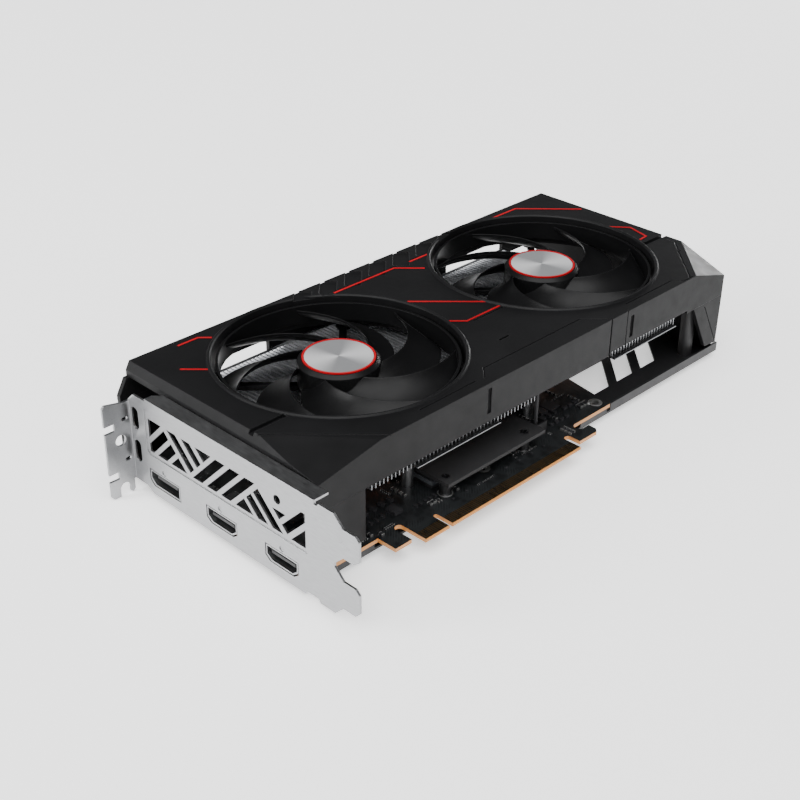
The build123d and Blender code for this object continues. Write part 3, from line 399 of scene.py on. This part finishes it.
def fin_look():
    """Thin rolled sheet, with painted light near the sheared top edges and painted shade lower down
    between the fins.
    """
    s = Shader("fin_aluminium")
    lines = s.noise(0.0008, 6, (1, 0.08, 1))
    place = s.add("ShaderNodeSeparateXYZ", Vector=s.coords.outputs["Object"])
    # Painted light and shade by height: pale metal high up, dark metal lower down where shade falls
    # between the fins.
    height = s.between(place.outputs["Z"], 0, 1, FIN_PAINTED_SHADE_BELOW, FIN_PAINTED_LIGHT_ABOVE)
    streaks = s.between(lines, 0, 1, 0.25, 0.75)
    low = s.colour(streaks, (0.20, 0.203, 0.21), (0.29, 0.295, 0.305))
    high = s.colour(streaks, (0.66, 0.67, 0.69), (0.84, 0.85, 0.87))
    gloss = s.between(lines, 0.34, 0.48, 0.3, 0.7)
    return s.set(Base_Color=s.colour(height, low, high), Roughness=gloss,
                 Normal=s.bump(lines, ROLLED_DEPTH, 0.7), Metallic=1.0)


MOULDED = {
    "package_laminate": dict(base=(0.03, 0.12, 0.06), rough=0.45),
    "silicon": dict(base=(0.05, 0.05, 0.065), rough=0.15, grain=0.002, depth=0.000004),
    "chip_epoxy": dict(base=(0.016, 0.016, 0.018), rough=0.55),
    "ferrite": dict(base=(0.07, 0.07, 0.075), rough=0.6, grain=0.0005, depth=0.00006),
    "connector_plastic": dict(base=(0.012, 0.012, 0.013), rough=0.48),
    "backplate_coat": dict(base=(0.013, 0.013, 0.014), rough=0.42, grain=0.0004, depth=0.00002,
                           specular=0.4, edge=0.0003),
    "plate_coat": dict(base=(0.02, 0.02, 0.021), rough=0.5, grain=0.0003, depth=0.00004),
    "shroud_plastic": dict(base=(0.0058, 0.0058, 0.0062), rough=0.46, specular=0.15, edge=0.0004),
    "accent_red": dict(base=(0.36, 0.003, 0.008), rough=0.42, grain=0.0003, depth=0.00001,
                       specular=0.2),
    "fan_plastic": dict(base=(0.0045, 0.0045, 0.0048), rough=0.38, grain=0.0005, depth=0.00001,
                        specular=0.15, edge=0.0003),
    "magnet": dict(base=(0.05, 0.045, 0.045), rough=0.65),
    "stator_enamel": dict(base=(0.4, 0.14, 0.05), rough=0.35, grain=0.0004, depth=0.00008),
    "board_green": dict(base=(0.02, 0.12, 0.05), rough=0.4),
}
METALS = {
    "contact_gold": dict(base=(0.34, 0.215, 0.09), rough=0.30, stretch=(1, 0.1, 1), size=0.0006),
    "can_aluminium": dict(base=(0.78, 0.79, 0.8), rough=0.3),
    "plated_steel": dict(base=(0.36, 0.363, 0.37), rough=0.34, stretch=(1, 0.12, 1), size=0.0005,
                         edge=0.00025),
    "spring_steel": dict(base=(0.6, 0.6, 0.62), rough=0.25),
    "screw_steel": dict(base=(0.10, 0.10, 0.105), rough=0.35, size=0.0004),
    "copper": dict(base=(0.80, 0.42, 0.26), rough=0.3, stretch=(0.1, 1, 1), size=0.0009),
    "bronze": dict(base=(0.55, 0.38, 0.2), rough=0.4),
    "tinned_ends": dict(base=(0.58, 0.58, 0.57), rough=0.42, size=0.0003),
}


def make_materials():
    """Every slot of the record, and the tin of the added parts, by name."""
    made = {
        "solder_mask": board_look(),
        "thermal_pad": pad_look(),
        "fin_aluminium": fin_look(),
        "badge_metal": spun_badge(),
        "lead_sleeve": braid(),
    }
    made.update((name, moulded(name, **look)) for name, look in MOULDED.items())
    made.update((name, metal(name, **look)) for name, look in METALS.items())
    return made


MATERIALS = make_materials()


def dress_frame():
    """Every CAD node gets its slot's finished material."""
    for row in frame["record"]["subparts"]:
        node = NODES[row["node"]]
        node.data.materials.clear()
        node.data.materials.append(MATERIALS[row["material_slot"]])


# ---------------------------------------------------------------- pieces added to the frame
def new_piece(name, shell, slot, *materials):
    """A mesh object made of this shell, which rides on the card and takes the materials given."""
    mesh = bpy.data.meshes.new(name)
    shell.to_mesh(mesh)
    shell.free()
    for material in materials:
        mesh.materials.append(material)
    piece = new_object(name, mesh)
    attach(piece, "card")


def add_brick(mesh, centre, size, turned, material, chamfer):
    """One closed box with broken top edges, quarter turned or not."""
    half = Vector(size) / 2
    if turned:
        half.x, half.y = half.y, half.x
    loops = []
    for z, inset in ((-half.z, 0.0), (half.z - chamfer, 0.0), (half.z, chamfer)):
        wide, deep = half.x - inset, half.y - inset
        loops.append([mesh.verts.new(centre + Vector((a * wide, b * deep, z))) for a, b in SQUARE])
    faces = [mesh.faces.new(loops[0][::-1]), mesh.faces.new(loops[-1])]
    for low, high in zip(loops, loops[1:]):
        for i in range(4):
            j = (i + 1) % 4
            faces.append(mesh.faces.new((low[i], low[j], high[j], high[i])))
    for face in faces:
        face.material_index = material


def tree_of(names):
    """One search tree over the meshes of these nodes."""
    points, faces = [], []
    for name in names:
        mesh = NODES[name].data
        start = len(points)
        points += [v.co.copy() for v in mesh.vertices]
        faces += [tuple(start + i for i in polygon.vertices) for polygon in mesh.polygons]
    return BVHTree.FromPolygons(points, faces)


SMALL_PART_SIZES = ((1.0, 0.5, 0.45), (1.0, 0.5, 0.45), (1.6, 0.8, 0.6), (2.0, 1.25, 0.8),
                    (2.9, 1.5, 0.9))
SMALL_PART_ROWS = 170
ROW_LENGTHS = (2, 6)
ROW_GAP = 0.5 * MM
CONTACT_STRIP = 6 * MM
SOLDER = 0.03 * MM
SPARE = 0.4 * MM
SIDE_ROOM = 0.3 * MM
HEAD_ROOM = 0.2 * MM
FOOT_LIFT = 0.01 * MM
FLATNESS = 0.05 * MM
SEARCH_UP = 20 * MM
SEARCH_DOWN = 1 * MM
UP = Vector((0, 0, 1))


def is_free(spot, size, ground, cover, taken):
    """True where the board is bare under the whole footprint and nothing stands in or over it."""
    x, y, level = spot
    wide, deep, tall = size
    for a in (-1, 0, 1):
        for b in (-1, 0, 1):
            foot = Vector((x + a * wide / 2, y + b * deep / 2, level + FOOT_LIFT))
            floor = ground.ray_cast(foot + UP * SEARCH_DOWN / 2, -UP, SEARCH_DOWN)[0]
            if floor is None or abs(floor.z - level) > FLATNESS:
                return False
            roof, facing = cover.ray_cast(foot, UP, SEARCH_UP)[:2]
            # A roof that faces up is seen from inside its solid, so the foot is in that solid.
            if roof is not None and (facing.z > 0 or roof.z - level < tall + HEAD_ROOM):
                return False
    return all(abs(x - u) > (wide + w) / 2 + SIDE_ROOM or abs(y - v) > (deep + d) / 2 + SIDE_ROOM
               for u, v, w, d in taken)


def add_small_part(shell, centre, size, turned):
    """A ceramic body with a tinned cap, a little larger, on each end."""
    body = (size.x * 0.6, size.y * 0.97, size.z * 0.96)
    add_brick(shell, centre, body, turned, material=0, chamfer=0.04 * MM)
    for end in (-1, 1):
        reach = end * size.x * 0.4
        push = Vector((0, reach, 0)) if turned else Vector((reach, 0, 0))
        cap = (size.x * 0.2, size.y, size.z)
        add_brick(shell, centre + push, cap, turned, material=1, chamfer=0.05 * MM)


def add_board_parts():
    """Rows of small ceramic parts with tinned ends, on the board wherever it is free."""
    ground = tree_of(["circuit_board"])
    turning = {node.name for name, body in frame["bodies"].items() if name != "card"
               for node in body.children}
    cover = tree_of([name for name in NODES if name != "circuit_board" and name not in turning])
    draw = random.Random(41)
    low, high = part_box("circuit_board")
    taken = []
    shell = bmesh.new()
    for _ in range(SMALL_PART_ROWS):
        start = Vector((draw.uniform(low.x, high.x), draw.uniform(low.y + CONTACT_STRIP, high.y)))
        size = Vector(draw.choice(SMALL_PART_SIZES)) * MM
        turned = draw.random() < 0.5
        count = draw.randint(*ROW_LENGTHS)
        along = draw.random() < 0.5
        wide, deep = (size.y, size.x) if turned else (size.x, size.y)
        for i in range(count):
            x = start.x + (i * (wide + ROW_GAP) if along else 0)
            y = start.y + (0 if along else i * (deep + ROW_GAP))
            footprint = (wide + SPARE, deep + SPARE, size.z)
            if is_free((x, y, high.z), footprint, ground, cover, taken):
                taken.append((x, y, wide, deep))
                add_small_part(shell, Vector((x, y, high.z + size.z / 2 + SOLDER)), size, turned)
    new_piece("board_small_parts", shell, "chip_epoxy", MATERIALS["chip_epoxy"],
              MATERIALS["tinned_ends"])


BOARD_HOLES = ((0.0934, 0.0168), (0.162, 0.0173))
BOARD_HOLE_R = 1.65 * MM
PLATE_SCREWS = ((0.0715, 0.0154), (0.115, 0.0154))
PLATE_SCREW_R = 2.4 * MM
SHORT_BARREL = 0.2 * MM
RING_R = 3 * MM
RING_STEPS = 48


def add_ring(shell, place, bore, top, foot):
    """A thin tinned ring at the board's top, with a barrel down to the height of its foot."""
    under = top + 0.01 * MM
    over = top + 0.06 * MM
    wall = bore + 0.03 * MM
    profile = ((bore, foot), (bore, over), (RING_R - 0.1 * MM, over), (RING_R, under),
               (wall, under), (wall, foot))
    rings = []
    for i in range(RING_STEPS):
        turn = 2 * math.pi * i / RING_STEPS
        across, along = math.cos(turn), math.sin(turn)
        rings.append([shell.verts.new((place[0] + radius * across, place[1] + radius * along, z))
                      for radius, z in profile])
    for ring, other in zip(rings, rings[1:] + rings[:1]):
        for i in range(len(profile)):
            j = (i + 1) % len(profile)
            shell.faces.new((ring[i], other[i], other[j], ring[j]))


def add_eyelets():
    """Tinned rings that line two of the board's holes, and others round the plate's two screws."""
    low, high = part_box("circuit_board")
    shell = bmesh.new()
    for place in BOARD_HOLES:
        add_ring(shell, place, BOARD_HOLE_R, high.z, low.z)
    for place in PLATE_SCREWS:
        add_ring(shell, place, PLATE_SCREW_R, high.z, high.z - SHORT_BARREL)
    bmesh.ops.recalc_face_normals(shell, faces=shell.faces)
    new_piece("board_eyelets", shell, "plated_steel", MATERIALS["tinned_ends"])


# ---------------------------------------------------------------- floor
FLOOR_REACH = 6.0
FLOOR_GAP = 0.2 * MM
FLOOR_GLOW = 0.75


def add_floor():
    """A plain pale floor just under the lowest point."""
    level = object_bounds()[0].z - FLOOR_GAP
    mesh = bpy.data.meshes.new("floor")
    corners = [(a * FLOOR_REACH, b * FLOOR_REACH, level) for a, b in SQUARE]
    mesh.from_pydata(corners, [], [(0, 1, 2, 3)])
    s = Shader("floor")
    tint = s.colour(s.noise(0.4, 2), (0.93, 0.93, 0.932), (0.95, 0.95, 0.952))
    s.set(Base_Color=tint, Roughness=s.between(s.noise(0.01, 3), 0.75, 0.85),
          Emission_Color=(1, 1, 1, 1), Emission_Strength=FLOOR_GLOW)
    mesh.materials.append(s.material)
    new_object("floor", mesh)


# ---------------------------------------------------------------- the scene
dress_frame()
add_camera()
add_studio()
add_board_parts()
add_eyelets()
add_floor()
